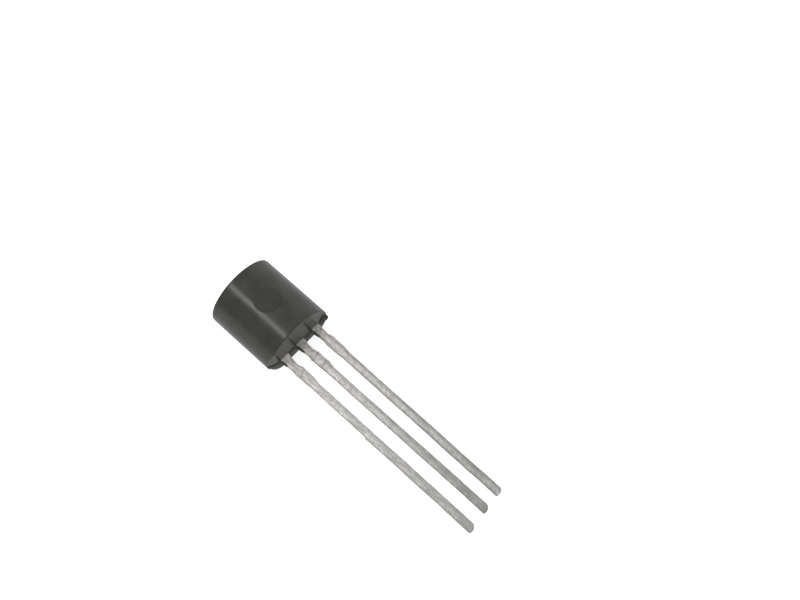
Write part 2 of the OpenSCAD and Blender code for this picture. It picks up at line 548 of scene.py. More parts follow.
@dataclass(frozen=True)
class LeadFrame:
    """Sizes that the leads have in common, in millimetres.

    The centre lead ends in a flag that carries the die, flag_in inside the body. The other two
    end in bonding posts, post_gap short of the flag's outer end.
    """

    pitch: float = 1.27
    height: float = 1.06
    thickness: float = 0.38
    width: float = 0.48
    root_width: float = 0.56
    neck_width: float = 0.46
    neck_at: float = 0.9
    root_shift: float = 0.05
    flag_in: float = 1.7
    flag_len: float = 2.2
    flag_width: float = 2.1
    post_gap: float = 0.3
    post_len: float = 0.75
    post_width: float = 1.1

    @property
    def top(self) -> float:
        """Height of the leads' upper face above the flat."""
        return self.height + self.thickness / 2

    @property
    def bottom(self) -> float:
        """Height of the leads' lower face above the flat."""
        return self.height - self.thickness / 2

    def flag(self, exit_x: float) -> InnerEnd:
        """The flag under the die, for leads that leave the body at exit_x."""
        return InnerEnd(exit_x - self.flag_in - self.flag_len, self.flag_len, self.flag_width)

    def post(self, exit_x: float) -> InnerEnd:
        """A bonding post, for leads that leave the body at exit_x."""
        return InnerEnd(exit_x - self.flag_in + self.post_gap, self.post_len, self.post_width)


@dataclass
class MouldedBody:
    """The epoxy body as one closed surface with round edges, in millimetres.

    The lead end is a grid over the D section, a rounded rim and the long wall are rings of one
    loop round the D, and the top end is a second grid. The -Y corner of the lead end is worn
    from worn_from outwards on the flat's side of the leads, and from chip_from outwards at every
    height. The pin mark lies mark_off towards +Y on the back, with a step mark_soft wide round
    it. mark_dark gives the distances from its middle, as shares of its width, between which the
    resin darkens from mark_middle to full.
    """

    leads: LeadFrame
    width: float = 4.66
    length: float = 4.76
    thickness: float = 3.6
    draft_deg: float = 0.5
    flat_edge_r: float = 0.2
    edge_r: float = 0.05
    worn_from: float = 1.45
    worn_depth: float = 0.52
    worn_power: float = 1.7
    worn_above: float = 0.08
    worn_below: float = 0.07
    chip_from: float = 1.72
    chip_depth: float = 0.3
    chip_power: float = 1.5
    mark_d: float = 1.5
    mark_depth: float = 0.04
    mark_off: float = 0.24
    mark_soft: float = 0.09
    mark_middle: float = 0.35
    mark_dark: Span = (1 / 6, 2 / 7)
    columns: int = 120
    level_rows: int = 40
    back_rows: int = 24
    top_rows: int = 6
    edge_rings: int = 6
    plain_rings: int = 10
    mark_rings: int = 64

    def __post_init__(self) -> None:
        """Works out the places that follow from the sizes."""
        self.back_r = self.width / 2
        self.back_z = self.thickness - self.back_r
        self.slope = math.tan(math.radians(self.draft_deg))
        self.exit_x = self.leads.height * self.slope
        self.top_x = self.exit_x - self.length
        self.corner_y = math.sqrt((self.back_r - self.flat_edge_r) ** 2
                                  - (self.back_z - self.flat_edge_r) ** 2)

    def touch_height(self, inset: float) -> float:
        """Z at which the corner circle touches the back's circle, with both moved in by inset."""
        share = (self.back_r - inset) / (self.back_r - self.flat_edge_r)
        return self.back_z + (self.flat_edge_r - self.back_z) * share

    def half_width(self, z: np.ndarray, inset: float) -> np.ndarray:
        """Half the width of the D at a height.

        Below the point where the corner circle touches the back's circle it is the corner
        circle's reach, and above it the back circle's half chord.

        Args:
            z: the height above the flat.
            inset: how far the outline is moved in.

        Returns:
            Half the width at each height.
        """
        corner = self.corner_y + np.sqrt(np.clip(
            (self.flat_edge_r - inset) ** 2 - (self.flat_edge_r - z) ** 2, 0, None))
        back = np.sqrt(np.clip((self.back_r - inset) ** 2 - (z - self.back_z) ** 2, 0, None))
        return np.where(z < self.touch_height(inset), corner, back)

    def section_grid(self, upper_rows: int) -> tuple[np.ndarray, np.ndarray]:
        """A grid of points that fills the D, with its outline moved in by the edge radius.

        Up to the height of the back's axis the rows are level and run from wall to wall. Above
        it each column stands upright and is shared out between the axis and the curved back.

        Args:
            upper_rows: number of rows above the axis.

        Returns:
            Y and Z of the points.
        """
        inset = self.edge_r
        across = np.sin(np.linspace(-0.5, 0.5, self.columns) * math.pi)
        rise = (1 - np.cos(np.linspace(0, 1, self.level_rows) * math.pi)) / 2
        level = inset + (self.back_z - inset) * rise
        y_level = across[None, :] * self.half_width(level, inset)[:, None]
        z_level = np.broadcast_to(level[:, None], y_level.shape)
        rise = np.linspace(0, 1, upper_rows + 1)[1:, None]
        y_upper = np.broadcast_to(across[None, :] * (self.back_r - inset), (upper_rows, self.columns))
        z_upper = self.back_z + rise * np.sqrt(np.clip((self.back_r - inset) ** 2 - y_upper**2, 0, None))
        return np.vstack([y_level, y_upper]), np.vstack([z_level, z_upper])

    def rim_loop(self, rows: int) -> tuple[np.ndarray, np.ndarray]:
        """The outline of a section grid: along the flat, up the +Y side, over the back and down.

        Args:
            rows: number of rows of the grid.

        Returns:
            Row and column numbers of the outline's points.
        """
        cols = self.columns
        up = np.arange(1, self.level_rows)
        over = np.arange(cols - 2, 0, -1)
        loop_rows = np.concatenate([np.zeros(cols, int), up, np.full(len(over), rows - 1), up[::-1]])
        loop_cols = np.concatenate([np.arange(cols), np.full(len(up), cols - 1), over,
                                    np.zeros(len(up), int)])
        return loop_rows, loop_cols

    def outline_normals(self, y: np.ndarray, z: np.ndarray) -> tuple[np.ndarray, np.ndarray]:
        """Outward normals of the outline: down on the flat, and elsewhere away from a circle's middle.

        Args:
            y: Y of points on the outline.
            z: Z of the same points.

        Returns:
            Y and Z of the normals, whose length is 1.
        """
        corner = z < self.touch_height(self.edge_r)
        ny = np.where(corner, np.sign(y) * np.clip(np.abs(y) - self.corner_y, 0, None), y)
        nz = np.where(corner, z - self.flat_edge_r, z - self.back_z)
        length = np.hypot(ny, nz)
        return ny / length, nz / length

    def lead_end(self, y: np.ndarray, z: np.ndarray) -> np.ndarray:
        """X of the lead end: two planes that lean in from the mould line, with a worn -Y corner.

        The worn and the chipped part fall away with a power of the distance past their start.

        Args:
            y: Y of points on the end.
            z: Z of the same points.

        Returns:
            X of each point.
        """
        worn = np.clip((-y - self.worn_from) / (self.back_r - self.worn_from), 0, 1) ** self.worn_power
        worn = worn * smooth_step(z, self.leads.bottom + self.worn_above, self.leads.bottom - self.worn_below)
        chip = np.clip((-y - self.chip_from) / (self.back_r - self.chip_from), 0, 1) ** self.chip_power
        lean = np.abs(z - self.leads.height) * self.slope
        return self.exit_x - lean - np.maximum(worn * self.worn_depth, chip * self.chip_depth)

    def top_end(self, z: np.ndarray) -> np.ndarray:
        """X of the top end: two planes that lean in from the mould line."""
        return self.top_x + np.abs(z - self.leads.height) * self.slope

    def wall_steps(self) -> np.ndarray:
        """Shares of the wall's length at which rings lie, close together across the pin mark.

        Returns:
            The shares in rising order, without 0 and 1.
        """
        near = (self.length / 2 - self.mark_d / 2 - 2 * self.mark_soft) / self.length
        return np.concatenate([np.linspace(0, near, self.plain_rings)[1:-1],
                               np.linspace(near, 1 - near, self.mark_rings),
                               np.linspace(1 - near, 1, self.plain_rings)[1:-1]])

    def wall_rings(self, rim: np.ndarray) -> tuple[np.ndarray, np.ndarray]:
        """Rings that carry the lead end's rim over the round edges and along the wall.

        At the angle t of a round edge a ring is set back by edge_r (1 - cos t) and moved out by
        edge_r sin t. On the wall it lies between the two edges. The pin mark sinks the back.

        Args:
            rim: points of the lead end's outline.

        Returns:
            The points as rings, and how dark the pin mark leaves each, from 0 to 1.
        """
        start, rim_y, rim_z = rim.T
        end = self.top_end(rim_z)
        ny, nz = self.outline_normals(rim_y, rim_z)
        turn = np.linspace(0, math.pi / 2, self.edge_rings)[:, None]
        steps = self.wall_steps()[:, None]
        out = np.concatenate([np.sin(turn), np.ones_like(steps), np.sin(turn[::-1])]) * self.edge_r
        x = np.concatenate([
            start - self.edge_r * (1 - np.cos(turn)),
            (start - self.edge_r) * (1 - steps) + (end + self.edge_r) * steps,
            end + self.edge_r * (1 - np.cos(turn[::-1]))])
        from_mark = np.hypot(x - (self.exit_x - self.length / 2), rim_y + ny * out - self.mark_off)
        edge, soft = self.mark_d / 2, self.mark_soft / 2
        sunk = smooth_step(from_mark, edge + soft, edge - soft) * (nz > 0)
        out = out - sunk * self.mark_depth
        dark = smooth_step(from_mark, self.mark_d * self.mark_dark[0], self.mark_d * self.mark_dark[1])
        pressed = sunk * (self.mark_middle + (1 - self.mark_middle) * dark)
        return np.stack([x, rim_y + ny * out, rim_z + nz * out], axis=-1), pressed

    def build(self, package: Package) -> bpy.types.Object:
        """Builds the body's surface: the lead end's grid, the rings and the top end's grid.

        Args:
            package: the frame that the surface is placed in.

        Returns:
            The finished piece.
        """
        y, z = self.section_grid(self.back_rows)
        near = np.stack([self.lead_end(y, z), y, z], axis=-1)
        y, z = self.section_grid(self.top_rows)
        far = np.stack([self.top_end(z), y, z], axis=-1)
        rings, pressed = self.wall_rings(near[self.rim_loop(len(near))])

        points = np.concatenate([part.reshape(-1, 3) for part in (near, rings, far)])
        worn = np.concatenate([np.zeros(near.size // 3), pressed.ravel(), np.zeros(far.size // 3)])
        ring_first = near.size // 3
        far_first = ring_first + rings.size // 3
        faces = np.concatenate([
            grid_faces(len(near), self.columns),
            grid_faces(len(rings), rings.shape[1], ring_first, loop=True),
            grid_faces(len(far), self.columns, far_first)])
        piece = make_piece("package_body", package.to_row(points), faces, worn)
        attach(piece, "root")
        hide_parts("moulded_body")
        return piece


@dataclass(frozen=True)
class BrokenWeb:
    """The rough edge of resin round the leads, where the web between them was trimmed off.

    Sizes are in millimetres. It stands out by out times an uneven level between least and 1
    that lies round middle, and a lobe past lead 1 stands out further. Its upper edge lies
    below under the leads' upper face, and its ends lie margin inside the body's walls.
    """

    body: MouldedBody
    out: float = 0.06
    middle: float = 0.62
    least: float = 0.1
    coarse: Ripple = Ripple(0.3, 0.5, 0.5, seed=2.0)
    fine: Ripple = Ripple(0.2, 0.1, 0.1, seed=5.0)
    lobe: float = 0.09
    lobe_span: Span = (1.65, 1.95)
    lobe_more: float = 0.4
    lobe_range: Span = (0.4, 1.1)
    root: float = 0.5
    margin: float = 0.012
    below: float = 0.035
    rows: int = 16
    columns: int = 420

    def build(self, package: Package) -> bpy.types.Object:
        """Builds the web as a slab that runs from wall to wall at the height of the leads.

        Its front is a grid over Y and Z. Rings round the grid carry it back into the body and
        close it there.

        Args:
            package: the frame that the surface is placed in.

        Returns:
            The finished piece.
        """
        leads = self.body.leads
        z = np.linspace(leads.bottom, leads.top - self.below, self.rows)[:, None]
        reach = np.sqrt(self.body.back_r**2 - (z - self.body.back_z) ** 2) - self.margin
        y = np.linspace(-1, 1, self.columns)[None, :] * reach
        z = np.broadcast_to(z, y.shape)
        level = self.middle + self.coarse.at(y, z) + self.fine.at(y, z)
        front = self.body.lead_end(y, z) + self.out * np.clip(level, self.least, 1.0)
        lobe = self.lobe * np.clip(level + self.lobe_more, *self.lobe_range)
        front = front + lobe * smooth_step(y, *self.lobe_span)
        grid = np.stack([front, y, z], axis=-1)
        loop = np.concatenate([grid[0, :], grid[1:, -1], grid[-1, -2::-1], grid[-2:0:-1, 0]])
        back = loop.copy()
        back[:, 0] = self.body.exit_x - self.root
        centre = np.broadcast_to(back.mean(axis=0), loop.shape)
        rings = np.concatenate([loop, back, centre])
        faces = np.concatenate([grid_faces(self.rows, self.columns),
                                grid_faces(3, len(loop), self.rows * self.columns, loop=True)])
        piece = make_piece("broken_web", package.to_row(np.concatenate([grid.reshape(-1, 3), rings])), faces)
        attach(piece, "root")
        return piece


@dataclass(frozen=True)
class ResinSliver:
    """The thin wedge of resin that stays on one side of a lead where the web was trimmed off.

    index is 1, 0 or -1 for leads 1, 2 and 3. foot is how much wider the wedge is at the body,
    over foot_share of its length. thick is half its thickness as a share of the lead's, and
    thinner the share of that which it loses towards the tip.
    """

    leads: LeadFrame
    index: int
    exit_x: float
    length: float
    width: float = 0.13
    tip_width: float = 0.004
    tip_power: float = 5.0
    foot: float = 0.09
    foot_share: float = 0.4
    overlap: float = 0.06
    root: float = 0.15
    thick: float = 0.48
    thinner: float = 0.2
    corner_power: float = 0.4
    skin: Ripple = Ripple(0.008, 0.15, 0.15, seed=1.0)
    rings: int = 40
    around: int = 24

    def build(self, package: Package) -> bpy.types.Object:
        """Builds the wedge.

        Its outer side is a hollow foot at the body, then nearly straight, and the tip is blunt:
        with t as the share of the way to the tip, the width goes with the square root of
        1 - t^tip_power, plus the square of what is left of the foot. The section is a
        superellipse, close to a box.

        Args:
            package: the frame that the surface is placed in.

        Returns:
            The finished piece.
        """
        leads = self.leads
        t = np.linspace(0, 1, self.rings)
        x = self.exit_x - self.root + (self.root + self.length) * t
        inner = -leads.root_width / 2 + self.overlap + (leads.root_width - leads.neck_width) / 2 * t
        foot = self.foot * np.clip(1 - t / self.foot_share, 0, 1) ** 2
        reach = self.width * (1 - t**self.tip_power) ** 0.5 + foot + self.tip_width
        turn = np.linspace(0, 2 * math.pi, self.around, endpoint=False)
        side = np.sign(np.cos(turn)) * np.abs(np.cos(turn)) ** self.corner_power
        lift = np.sign(np.sin(turn)) * np.abs(np.sin(turn)) ** self.corner_power
        middle = self.index * leads.pitch + leads.root_shift
        y = middle + inner[:, None] - reach[:, None] * (1 + side[None, :]) / 2
        thick = self.thick * leads.thickness * (1 - self.thinner * t**2)
        z = leads.height + thick[:, None] * lift[None, :]
        x = np.broadcast_to(x[:, None], y.shape)
        rings = close_ends(np.stack([x, y + self.skin.at(x, z, self.index), z], axis=-1))
        piece = make_piece(f"resin_sliver_{2 - self.index}", package.to_row(rings),
                           grid_faces(len(rings), self.around, loop=True))
        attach(piece, "root")
        return piece


# --------------------------------------------------------------------------------------------
# The leads
# --------------------------------------------------------------------------------------------


@dataclass(frozen=True)
class PressMark:
    """A dent that the trimming tool left across the top of a lead, in millimetres.

    Its line crosses the middle of the lead at the distance at from the body. Towards the +Y edge
    it runs on by lean, and towards both edges by bow.
    """

    at: float
    lean: float = 0.0
    bow: float = 0.0
    depth: float = 0.02
    width: float = 0.035

    def depth_at(self, x: np.ndarray, share: np.ndarray) -> np.ndarray:
        """Depth at x from the body, where share runs from -1 at the -Y edge to 1 at the +Y edge."""
        return self.depth * bump_at(x, self.at + self.lean * share + self.bow * share**2, self.width)


@dataclass(frozen=True)
class Burr:
    """A rounded swelling of a lead's edge, in millimetres, after past the place it belongs to."""

    height: float
    width: float
    after: float = 0.0

    def at(self, x: np.ndarray, place: float) -> np.ndarray:
        """How far the edge swells out at x: height times a Gauss curve."""
        return self.height * bump_at(x, place + self.after, self.width)


@dataclass(frozen=True)
class TipShape:
    """The cut end of a lead, in millimetres.

    face_r, plus_r and minus_r round off its faces, its +Y side and its -Y side. shift is how far
    the tip is bent towards +Y.
    """

    face_r: float = 0.08
    plus_r: float = 0.2
    minus_r: float = 0.1
    shift: float = 0.0

    @property
    def longest(self) -> float:
        """The largest of the three radii."""
        return max(self.face_r, self.plus_r, self.minus_r)


@dataclass(frozen=True)
class TinWearAndShade:
    """How dark the tin of a lead is painted, where 1 is fully.

    Along the +Y edge it is painted shade by plus, and along the -Y edge by minus. The foot at the
    body is darker by foot, and the tip is worn by tip, which goes down evenly towards the body and
    ends tip_from away from it. The edges' painted shade starts and is full at shares of the way
    from the middle to the edge.
    """

    plus: float = 0.4
    plus_from: float = 0.1
    plus_run: float = 0.6
    minus: float = 0.5
    minus_span: Span = (-0.45, -0.9)
    edge_level: float = 0.8
    edge_patches: Ripple = Ripple(0.35, 0.5, 0.3)
    tip: float = 0.6
    tip_from: float = 2.0
    tip_patches: Ripple = Ripple(0.3, 1.2, 0.3, seed=5.0)
    foot: float = 0.0
    foot_span: Span = (0.55, 0.3)

    def at(self, away: np.ndarray, share: np.ndarray, y: np.ndarray, end: float, index: int) -> np.ndarray:
        """How dark a lead is painted at points: the greater of the edges' painted shade and the darker foot,
        to which the worn tip is added.

        Args:
            away: distance from the body.
            share: place across, from -1 at the -Y edge to 1 at the +Y edge.
            y: place across in millimetres.
            end: distance of the tip from the body.
            index: the lead's index, which shifts the patches.

        Returns:
            How dark each point is painted, from 0 to 1.
        """
        # Painted shade along both edges, in uneven patches.
        edge = smooth_step(share, self.plus_from, self.plus_from + self.plus_run) * self.plus
        edge = edge + smooth_step(share, *self.minus_span) * self.minus
        edge = edge * (self.edge_level + self.edge_patches.at(away, y, 2.0 * index))
        tip = np.clip((away - self.tip_from) / (end - self.tip_from), 0, 1) * self.tip
        tip = tip * (1 + self.tip_patches.at(away, y, index))
        # Darker at the foot, next to the body.
        foot = smooth_step(away, *self.foot_span) * self.foot
        return np.clip(np.maximum(edge, foot) + tip - edge * tip, 0, 1)


@dataclass(frozen=True)
class StampedLead:
    """A lead as a rounded bar swept along X, from its inner end in the resin to its tip.

    index is 1, 0 or -1 for leads 1, 2 and 3, and counts pitches towards +Y. Sizes are in
    millimetres. The tie bar between the leads leaves shoulders, by minus_short and minus_slim
    shorter and slimmer on the -Y side. Round bites lock_in inside the body lock the lead. On the
    +Y side it flares at the body. bare_len is the length there on which it is still even. A nick
    at nick_at widens the -Y edge from there on. The edges are rounded by edge_r, or by
    edge_share of a thinner bar, and dome is how far the top's edges lie below its middle. The
    middle line comes to its root_shift over shift_run. Rings stand close together from near_in
    inside the body to near_out outside it, and step_gaps past the inner end, which stops square.
    """

    leads: LeadFrame
    index: int
    exit_x: float
    inner: InnerEnd
    tip: TipShape
    wear_and_shade: TinWearAndShade
    marks: tuple[PressMark, ...]
    free_len: float = 14.5
    tip_step: float = 0.13
    shoulder_width: float = 0.62
    shoulder_from: float = 1.2
    shoulder_len: float = 0.9
    shoulder_run: float = 0.55
    minus_short: float = 0.25
    minus_slim: float = 0.04
    first_burr: Burr = Burr(0.022, 0.05, after=0.04)
    last_burr: Burr = Burr(0.018, 0.06)
    lock_r: float = 0.1
    lock_in: float = 0.35
    edge_r: float = 0.05
    edge_share: float = 0.9
    flare: float = 0.06
    flare_len: float = 0.7
    bare_len: float = 0.3
    nick_at: float | None = None
    nick_burr: Burr = Burr(0.05, 0.09)
    nick_step: float = 0.035
    nick_run: float = 0.1
    dome: float = 0.026
    fine_skin: Ripple = Ripple(0.009, 0.16, 0.11, seed=3.0)
    coarse_skin: Ripple = Ripple(0.0036, 0.9, 0.5, seed=7.0)
    slow_edge: Ripple = Ripple(0.010, 1.4)
    quick_edge: Ripple = Ripple(0.007, 0.3, seed=9.0)
    stray: Ripple = Ripple(0.012, 4.0, seed=4.0)
    shift_run: float = 0.6
    step_gaps: Span = (1e-4, 0.02)
    near_in: float = 0.6
    near_out: float = 3.2
    end_rings: int = 12
    resin_rings: int = 8
    near_rings: int = 260
    far_rings: int = 330
    tip_rings: int = 16
    corner_points: int = 6
    top_points: int = 19
    side_points: int = 4
    bottom_points: int = 9

    @property
    def name(self) -> str:
        """Name of the CAD node that this lead replaces."""
        return f"lead_{2 - self.index}"

    @property
    def tip_x(self) -> float:
        """X of the lead's tip."""
        return self.exit_x + self.free_len - self.index * self.tip_step

    def stations(self) -> np.ndarray:
        """X of the rings: close together at the inner end, at the shoulders and at the tip.

        Returns:
            The places in rising order, with two almost at one place where the inner end stops.
        """
        edge = self.inner.stop_x
        near, far = self.exit_x - self.near_in, self.exit_x + self.near_out
        quarter = np.linspace(0, 0.5, self.tip_rings) * math.pi
        return np.unique(np.concatenate([
            np.linspace(self.inner.start_x, edge, self.end_rings), [edge + self.step_gaps[0]],
            np.linspace(edge + self.step_gaps[1], near, self.resin_rings),
            np.linspace(near, far, self.near_rings),
            np.linspace(far, self.tip_x - self.tip.longest, self.far_rings),
            self.tip_x - self.tip.longest * (1 - np.sin(quarter))]))

    def side_reach(self, x: np.ndarray, sign: int) -> np.ndarray:
        """Reach of one side of the lead from its middle line.

        Inner end, root, neck, shoulder and plain length are joined by straight lines. Round lock
        bites are taken off, and burrs at the shoulder's ends and a slow unevenness added.

        Args:
            x: X of the rings.
            sign: 1 for the +Y side and -1 for the -Y side.

        Returns:
            The reach at each ring.
        """
        leads, e = self.leads, self.exit_x
        short, slim = (0.0, 0.0) if sign > 0 else (self.minus_short, self.minus_slim)
        first = e + self.shoulder_from
        last = first + self.shoulder_len - short
        root, neck, plain = leads.root_width / 2, leads.neck_width / 2, leads.width / 2
        shoulder = self.shoulder_width / 2 - slim
        reach = np.interp(
            x, [self.inner.start_x, e, e + leads.neck_at, first, last, last + self.shoulder_run, self.tip_x],
            [root, root, neck, shoulder, shoulder, plain, plain])
        reach = reach - np.sqrt(np.clip(self.lock_r**2 - (x - e + self.lock_in) ** 2, 0, None))
        reach = np.where(x <= self.inner.stop_x, self.inner.width / 2, reach)
        seed = 2.0 * self.index + sign
        uneven = self.slow_edge.at(x, shift=seed) + self.quick_edge.at(x, shift=seed)
        burrs = self.first_burr.at(x, first) + self.last_burr.at(x, last)
        return reach + smooth_step(x, e, e + self.bare_len) * (uneven + burrs)

    def nick(self, x: np.ndarray) -> np.ndarray:
        """How far the nick moves the -Y edge out: a burr, and a step that stays.

        Args:
            x: X of the rings.

        Returns:
            The distance at each ring, which is 0 where the lead has no nick.
        """
        if self.nick_at is None:
            return np.zeros_like(x)
        place = self.exit_x + self.nick_at
        step = self.nick_step * smooth_step(x, place - self.nick_run, place + self.nick_run)
        return step + self.nick_burr.at(x, place)

    def middle(self, x: np.ndarray) -> np.ndarray:
        """Y of the lead's middle line, which strays a little from its pitch.

        Args:
            x: X of the rings.

        Returns:
            The middle at each ring.
        """
        share = np.clip((x - self.exit_x) / self.free_len, 0, 1)
        inside = smooth_step(x, self.exit_x - self.shift_run, self.exit_x)
        shift = self.leads.root_shift * inside * (1 - share) + self.tip.shift * share
        return self.index * self.leads.pitch + shift + share * self.stray.at(x, shift=self.index)

    def section(self) -> np.ndarray:
        """One ring round the bar: a corner's arc and then a flat face, four times over.

        Returns:
            Four rows of numbers. Across and up place a point between the middles of the corner
            circles, from -1 to 1. The cosine and the sine give its direction from there.
        """
        quarters = ((1, 1, self.top_points), (-1, 1, self.side_points),
                    (-1, -1, self.bottom_points), (1, -1, self.side_points))
        ring = []
        for quarter, (across, up, points) in enumerate(quarters):
            turn = np.linspace(0, math.pi / 2, self.corner_points) + quarter * math.pi / 2
            ring.append([across + 0 * turn, up + 0 * turn, np.cos(turn), np.sin(turn)])
            way = np.linspace(1, -1, points + 2)[1:-1] * (1 if quarter < 2 else -1)
            face = [way, up + 0 * way] if quarter % 2 == 0 else [across + 0 * way, way]
            ring.append([*face, math.cos(turn[-1]) + 0 * way, math.sin(turn[-1]) + 0 * way])
        return np.hstack([np.array(part) for part in ring])

    def top_relief(self, away: np.ndarray, share: np.ndarray, y: np.ndarray) -> np.ndarray:
        """Depth of the top below a flat one.

        Args:
            away: distance from the body.
            share: place across, from -1 at the -Y edge to 1 at the +Y edge.
            y: place across in millimetres.

        Returns:
            dome times share squared, plus the two uneven skins and the press marks.
        """
        skin = self.fine_skin.lifted(away, y, self.index) + self.coarse_skin.lifted(away, y)
        marks = sum((mark.depth_at(away, share) for mark in self.marks), np.zeros_like(away))
        return self.dome * share**2 + skin + marks

    def drawn_in(self, x: np.ndarray, radius: float) -> np.ndarray:
        """How far a face has drawn in at x: a quarter circle of the given radius ends at the tip."""
        t = np.clip((x - self.tip_x + radius) / radius, 0, 1)
        return radius * (1 - np.sqrt(1 - t * t))

    def build(self, package: Package) -> bpy.types.Object:
        """Builds the lead's surface.

        Each ring is a rectangle with round corners, let down by the top's relief. Towards the tip
        each face draws in along its own quarter circle, and both ends close to a point.

        Args:
            package: the frame that the surface is placed in.

        Returns:
            The finished piece.
        """
        x = self.stations()
        plus = self.side_reach(x, 1) + self.flare * smooth_step(x, self.exit_x + self.flare_len, self.exit_x)
        minus = self.side_reach(x, -1) + self.nick(x)
        plus = plus - self.drawn_in(x, self.tip.plus_r)
        minus = minus - self.drawn_in(x, self.tip.minus_r)
        full = self.leads.thickness / 2
        half = ((plus + minus) / 2)[:, None]
        high = (full - self.drawn_in(x, self.tip.face_r))[:, None]
        across, up, cos, sin = self.section()
        radius = np.minimum(self.edge_r, np.minimum(high, half) * self.edge_share)
        y = across * (half - radius) + radius * cos
        z = up * (high - radius) + radius * sin
        away = np.broadcast_to(x[:, None] - self.exit_x, y.shape)
        share = y / half
        outside = smooth_step(away, 0, self.bare_len) * np.clip(high / full, 0, 1) ** 2
        z = z - outside * np.clip(sin, 0, 1) * self.top_relief(away, share, y)
        middle = (self.middle(x) + (plus - minus) / 2)[:, None]
        rings = np.stack([away + self.exit_x, y + middle, z + self.leads.height], axis=-1)
        rings = close_ends(rings)
        # How dark the tin is painted: worn at the tip, darker at the foot, and painted shade along the edges.
        worn = self.wear_and_shade.at(away, share, y, self.free_len, self.index)
        worn = np.concatenate([worn[:1], worn, worn[-1:]])
        piece = make_piece(f"tinned_{self.name}", package.to_row(rings),
                           grid_faces(*worn.shape, loop=True), worn)
        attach(piece, "root")
        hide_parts(self.name)
        return piece


# --------------------------------------------------------------------------------------------
# Light, table and camera
# --------------------------------------------------------------------------------------------


def look_at(aim: Vector, azimuth_deg: float, elevation_deg: float, distance: float,
            roll_deg: float = 0.0) -> Matrix:
    """Place of a lamp or a camera that looks at a point.

    It stands at aim plus distance times (cos e cos a, cos e sin a, sin e), faces aim, and is then
    turned by the roll about its own axis.

    Args:
        aim: the point looked at, in metres.
        azimuth_deg: the angle a, from +X towards +Y.
        elevation_deg: the angle e above the table.
        distance: distance from aim in metres.
        roll_deg: turn about the line of sight.

    Returns:
        The matrix that puts it there.
    """
    azimuth, elevation = math.radians(azimuth_deg), math.radians(elevation_deg)
    away = Vector((math.cos(elevation) * math.cos(azimuth), math.cos(elevation) * math.sin(azimuth),
                   math.sin(elevation)))
    facing = away.to_track_quat("Z", "Y").to_matrix().to_4x4()
    roll = Matrix.Rotation(math.radians(roll_deg), 4, "Z")
    return Matrix.Translation(aim + away * distance) @ facing @ roll


@dataclass(frozen=True)
class Lamp:
    """A rectangular lamp aimed at the part, in degrees and metres.

    level is the share of a white surface's brightness that the lamp gives by itself when the
    surface faces it.
    """

    name: str
    azimuth_deg: float
    elevation_deg: float
    distance: float
    width: float
    height: float
    level: float

    def build(self, aim: Vector) -> bpy.types.Object:
        """Hangs the lamp round a point. Its power is level times pi squared times distance squared.

        Args:
            aim: the point that it lights, in metres.

        Returns:
            The lamp's object.
        """
        lamp = bpy.data.lights.new(self.name, "AREA")
        lamp.shape = "RECTANGLE"
        lamp.size = self.width
        lamp.size_y = self.height
        lamp.energy = self.level * math.pi**2 * self.distance**2
        holder = bpy.data.objects.new(self.name, lamp)
        holder.matrix_world = look_at(aim, self.azimuth_deg, self.elevation_deg, self.distance)
        bpy.context.scene.collection.objects.link(holder)
        return holder


